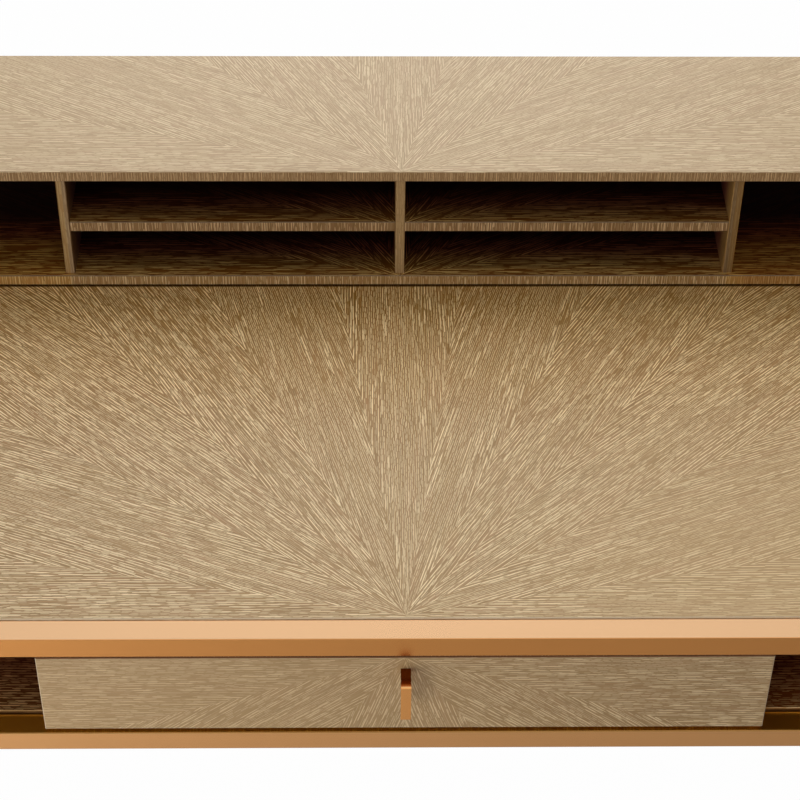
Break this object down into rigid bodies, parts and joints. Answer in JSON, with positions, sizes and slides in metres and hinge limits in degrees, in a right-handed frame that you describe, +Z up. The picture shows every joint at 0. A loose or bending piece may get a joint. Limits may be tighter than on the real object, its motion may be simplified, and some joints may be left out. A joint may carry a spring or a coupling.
{
  "type": "writing desk",
  "caption": "Writing desk with a square-tube metal frame, sunburst-veneered panels, an open pigeonhole hutch along the back and a centre drawer between two open compartments.",
  "frame": {"origin": "on the floor, at the centre of the outline including the drawer pull", "axes": "+X to the right seen from the front, +Y towards the back, +Z up"},
  "size_m": [1.5, 0.784, 0.9175],
  "materials": {
    "brass_frame": "satin",
    "brass_pull": "satin",
    "veneer_writing": "limed oak, satin lacquer",
    "veneer_hutch_top": "limed oak, satin lacquer",
    "veneer_hutch_floor": "limed oak, satin lacquer",
    "veneer_shelf": "limed oak, satin lacquer",
    "veneer_upright": "limed oak, satin lacquer",
    "veneer_hutch_back": "limed oak, satin lacquer",
    "veneer_drawer": "limed oak, satin lacquer",
    "veneer_apron": "limed oak, satin lacquer",
    "veneer_panel": "limed oak, satin lacquer",
    "drawer_wood": "clear lacquer",
    "dowel_wood": "raw",
    "runner_steel": "zinc plated",
    "screw_steel": "zinc plated",
    "bracket_steel": "zinc plated",
    "pad_rubber": "matte",
    "foot_plastic": "matte"
  },
  "bodies": {
    "desk": {"apron_back": "veneer_apron", "apron_end_left": "veneer_apron", "apron_end_right": "veneer_apron", "back_left_leg": "brass_frame", "back_lower_rail": "brass_frame", "back_right_leg": "brass_frame", "back_top_rail": "brass_frame", "bracket_screws": "screw_steel", "cabinet_slide_screws": "screw_steel", "carcass_bottom": "veneer_panel", "carcass_dowels": "dowel_wood", "desk_top": "veneer_writing", "drawer_partition_left": "veneer_panel", "drawer_partition_right": "veneer_panel", "floor_glides": "foot_plastic", "front_left_leg": "brass_frame", "front_lower_rail": "brass_frame", "front_right_leg": "brass_frame", "front_top_rail": "brass_frame", "hutch_back": "veneer_hutch_back", "hutch_bottom": "veneer_hutch_floor", "hutch_divider_centre": "veneer_upright", "hutch_divider_left": "veneer_upright", "hutch_divider_right": "veneer_upright", "hutch_dowels": "dowel_wood", "hutch_end_left": "veneer_upright", "hutch_end_right": "veneer_upright", "hutch_pads": "pad_rubber", "hutch_screws": "screw_steel", "hutch_shelf_left": "veneer_shelf", "hutch_shelf_right": "veneer_shelf", "hutch_top": "veneer_hutch_top", "left_lower_rail": "brass_frame", "left_top_rail": "brass_frame", "leg_plugs": "foot_plastic", "panel_tabs": "bracket_steel", "right_lower_rail": "brass_frame", "right_top_rail": "brass_frame", "slide_cabinet_left": "runner_steel", "slide_cabinet_right": "runner_steel", "tab_screws": "screw_steel", "top_brackets": "bracket_steel"},
    "drawer": {"drawer_back": "drawer_wood", "drawer_bottom": "drawer_wood", "drawer_bumpers": "pad_rubber", "drawer_front": "veneer_drawer", "drawer_pull": "brass_pull", "drawer_side_left": "drawer_wood", "drawer_side_right": "drawer_wood", "drawer_slide_screws": "screw_steel", "drawer_subfront": "drawer_wood", "front_screws": "screw_steel", "pull_screw": "screw_steel", "slide_drawer_left": "runner_steel", "slide_drawer_right": "runner_steel"},
    "left_runner": {"slide_middle_left": "runner_steel"},
    "right_runner": {"slide_middle_right": "runner_steel"}
  },
  "joints": [
    {"name": "drawer_slide", "type": "slide", "parent": "desk", "child": "drawer", "axis": [0, -1, 0], "range_m": [0, 0.42]},
    {"name": "left_runner_slide", "type": "slide", "parent": "desk", "child": "left_runner", "axis": [0, -1, 0], "range_m": [0, 0.21]},
    {"name": "right_runner_slide", "type": "slide", "parent": "desk", "child": "right_runner", "axis": [0, -1, 0], "range_m": [0, 0.21]}
  ],
  "couplings": [
    {"joint": "left_runner_slide", "follows": "drawer_slide", "ratio": 0.5},
    {"joint": "right_runner_slide", "follows": "drawer_slide", "ratio": 0.5}
  ]
}
